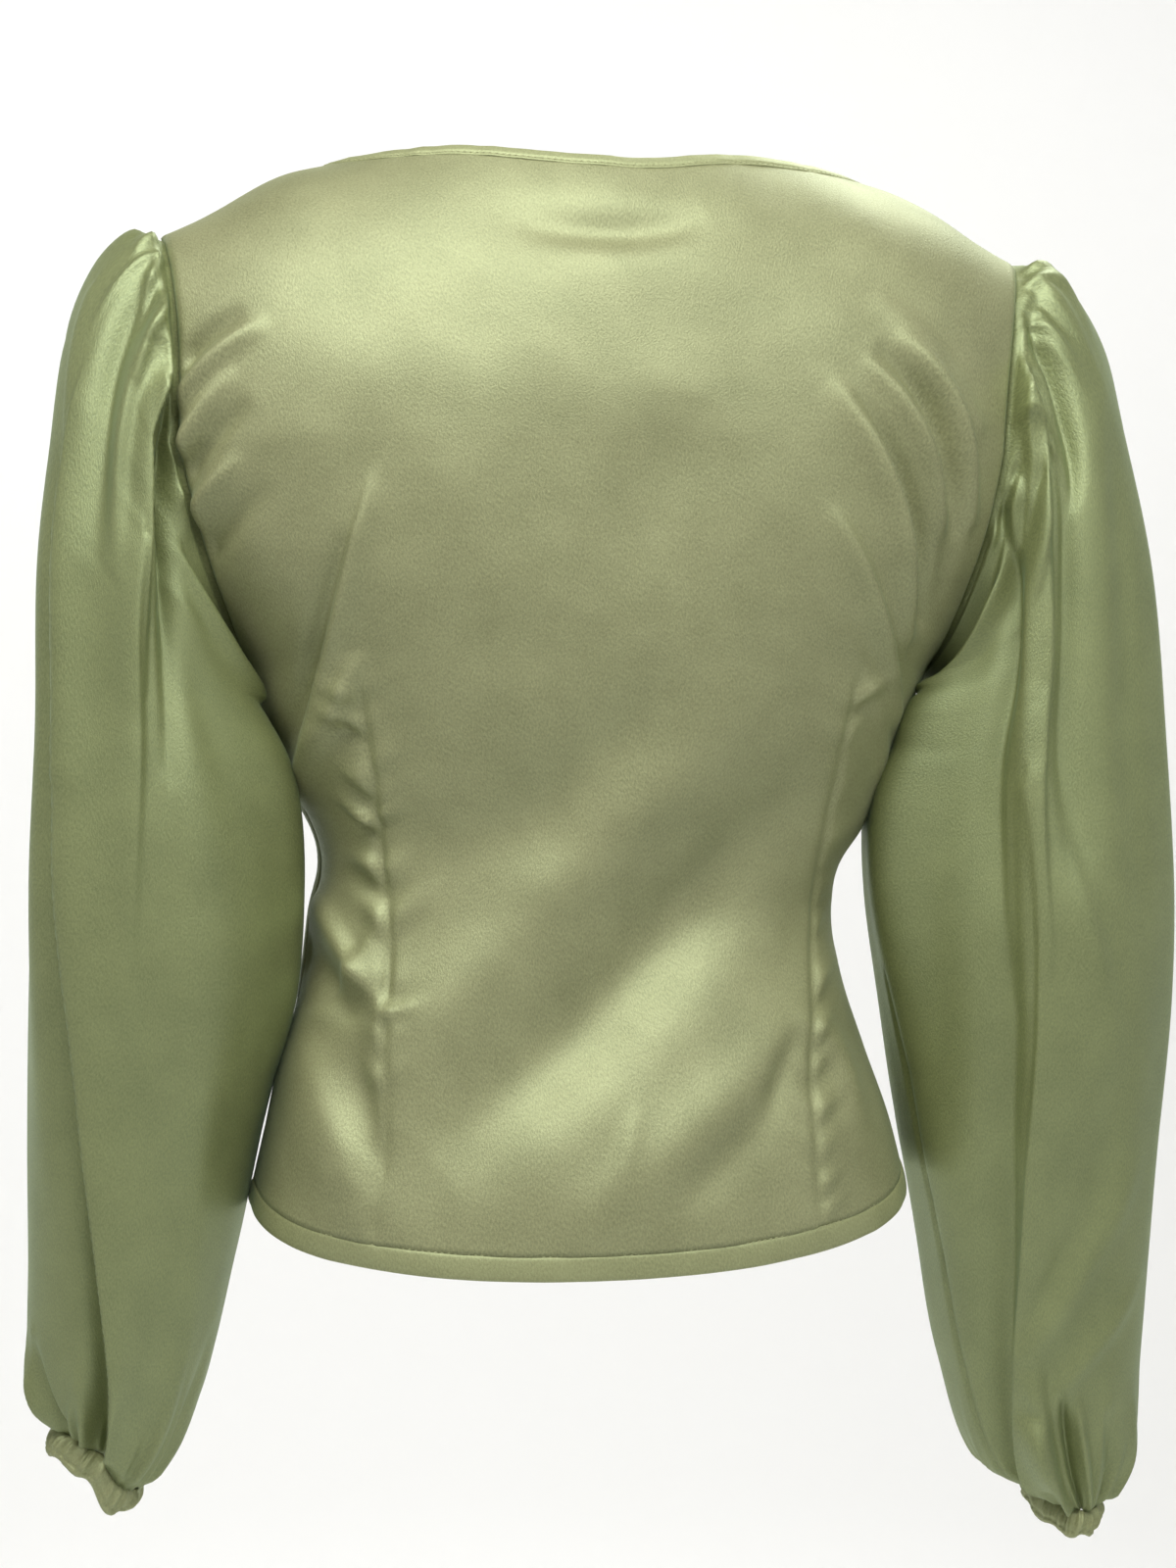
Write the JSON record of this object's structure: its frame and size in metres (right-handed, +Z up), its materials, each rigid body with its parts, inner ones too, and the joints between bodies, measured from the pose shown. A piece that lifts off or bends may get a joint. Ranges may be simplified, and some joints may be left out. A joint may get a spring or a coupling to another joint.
{
  "type": "blouse",
  "caption": "Cropped satin blouse, darted to the waist, with long gathered bishop sleeves, elastic cuffs and a bound scoop neck, hollow as worn.",
  "frame": {"origin": "midway between the two shoulder seams, level with their middles, where the wearer's shoulders carry the blouse", "axes": "+Z up, the front of the blouse faces -Y, the wearer's left sleeve is at +X"},
  "size_m": [0.5329, 0.2363, 0.6393],
  "materials": {
    "body_satin": "soft crepe-back satin in sage green",
    "sleeve_satin": "soft crepe-back satin in sage green, duller",
    "band_satin": "soft crepe-back satin in sage green, stitched double"
  },
  "bodies": {
    "root": {"back": "body_satin", "front": "body_satin", "sleeve_left": "sleeve_satin", "sleeve_right": "sleeve_satin", "cuff_left": "band_satin", "cuff_right": "band_satin", "neck_band": "band_satin", "hem_band": "band_satin"}
  },
  "joints": []
}
